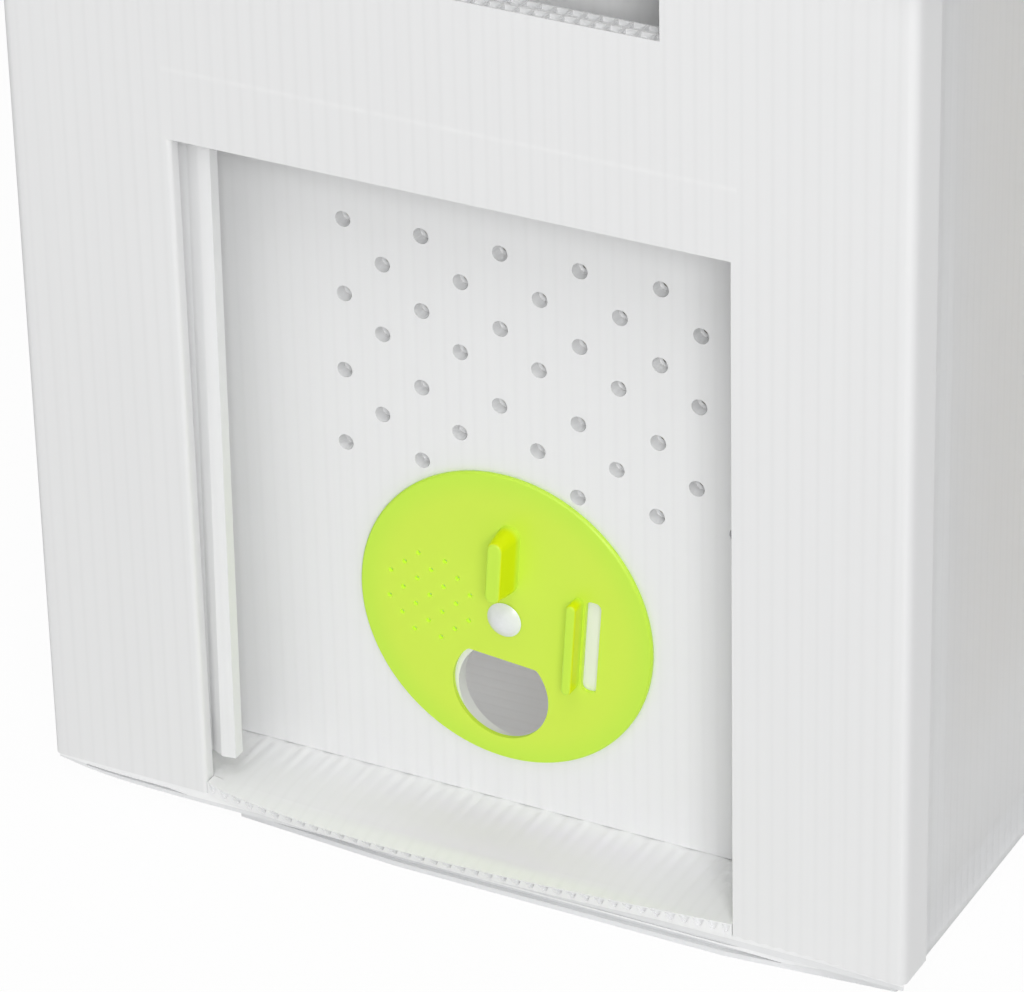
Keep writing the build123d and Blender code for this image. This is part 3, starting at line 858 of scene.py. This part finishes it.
for number in range(1, FRAME_COUNT + 1):
    dress(pine_lengthwise, f"top_bar_{number}", f"bottom_bar_{number}")
    dress(pine_upright, f"front_side_bar_{number}", f"back_side_bar_{number}")
    dress(wax, f"foundation_{number}")
dress(steel, "frame_nails")

# Lid. A panel of the same sheet creased along the left wall's head, which is its hinge, with a skirt folded
# down along its three other edges. Its flutes run from the hinge to the far skirt.

SKIRT_FLUTE_DEPTH = 0.006

dress(ribs_along_y, "lid_panel")
ribs_along_z = fluted_sheet("sheet_ribs_along_z", 2)
plain_sheet("lid_front_skirt", facing(0) @ lying, ribs_along_z, "lid")
plain_sheet("lid_back_skirt", facing(180) @ lying, ribs_along_z, "lid")
plain_sheet("lid_side_skirt", facing(90), ribs_along_y, "lid", SKIRT_FLUTE_DEPTH)

# Studio. A wide white floor that keeps a faint shadow, an even white surround, two large soft lamps before
# and above the hive, and the camera at the photograph's place, looking down on the porch from the right.

FLOOR_HALF = 6.0
FLOOR_WHITE = (0.95, 0.95, 0.95, 1)
FLOOR_BRIGHT = 0.96
SURROUND = 0.37
LAMPS = {
    "front_lamp": ((1.717, -2.691, 1.563), 1.0, 43.0),
    "top_lamp": ((0.420, -1.710, 2.714), 1.6, 18.5),
}
AIM = Vector((0.0161, -0.2612, 0.11606))
CAMERA_PLACE = Vector((0.57474, -1.29342, 0.78536))
CAMERA_ROLL = math.radians(-1.44)
CAMERA_LENS = 199.84
CAMERA_SENSOR = 36.0


def seen_directly(start):
    """1 for what the camera, a reflection or clear plastic shows, 0 for the light that falls on the hive."""
    seen = start.node("ShaderNodeLightPath", {}, {}, "Is Camera Ray")
    rays = seen.socket.node.outputs
    for ray in ("Is Glossy Ray", "Is Transmission Ray"):
        seen = start.math("MAXIMUM", seen, Wire(start.tree, rays[ray]))
    return seen


floor_finish, start, place, axes = new_finish("studio_floor_white")
matt = start.node("ShaderNodeBsdfDiffuse", {}, {"Color": FLOOR_WHITE})
bright = start.node("ShaderNodeEmission", {}, {"Color": PURE_WHITE, "Strength": 1.0})
mixed = start.node("ShaderNodeMixShader", {}, {0: seen_directly(start) * FLOOR_BRIGHT, 1: matt, 2: bright})
start.node("ShaderNodeOutputMaterial", {}, {"Surface": mixed})

bm = bmesh.new()
bmesh.ops.create_grid(bm, x_segments=1, y_segments=1, size=FLOOR_HALF)
set_down(bm, "studio_floor", floor_finish)

world = bpy.data.worlds.new("studio_surround")
world.use_nodes = True
world.node_tree.nodes.clear()
start = Wire(world.node_tree)
level = SURROUND + (1 - SURROUND) * seen_directly(start)
surround = start.node("ShaderNodeBackground", {}, {"Color": PURE_WHITE, "Strength": level})
start.node("ShaderNodeOutputWorld", {}, {"Surface": surround})
bpy.context.scene.world = world

for name, (spot, size, power) in LAMPS.items():
    lamp_data = bpy.data.lights.new(name, "AREA")
    lamp_data.energy = power
    lamp_data.size = size
    lamp = bpy.data.objects.new(name, lamp_data)
    lamp.location = spot
    lamp.rotation_euler = (AIM - lamp.location).to_track_quat("-Z", "Y").to_euler()
    lamp.visible_camera = False
    bpy.context.scene.collection.objects.link(lamp)

camera_data = bpy.data.cameras.new("camera")
camera_data.lens = CAMERA_LENS
camera_data.sensor_width = CAMERA_SENSOR
camera = bpy.data.objects.new("camera", camera_data)
camera.location = CAMERA_PLACE
look = (AIM - CAMERA_PLACE).to_track_quat("-Z", "Y") @ Quaternion((0, 0, 1), CAMERA_ROLL)
camera.rotation_euler = look.to_euler()
bpy.context.scene.collection.objects.link(camera)
bpy.context.scene.camera = camera
bpy.context.scene.view_settings.view_transform = "Standard"
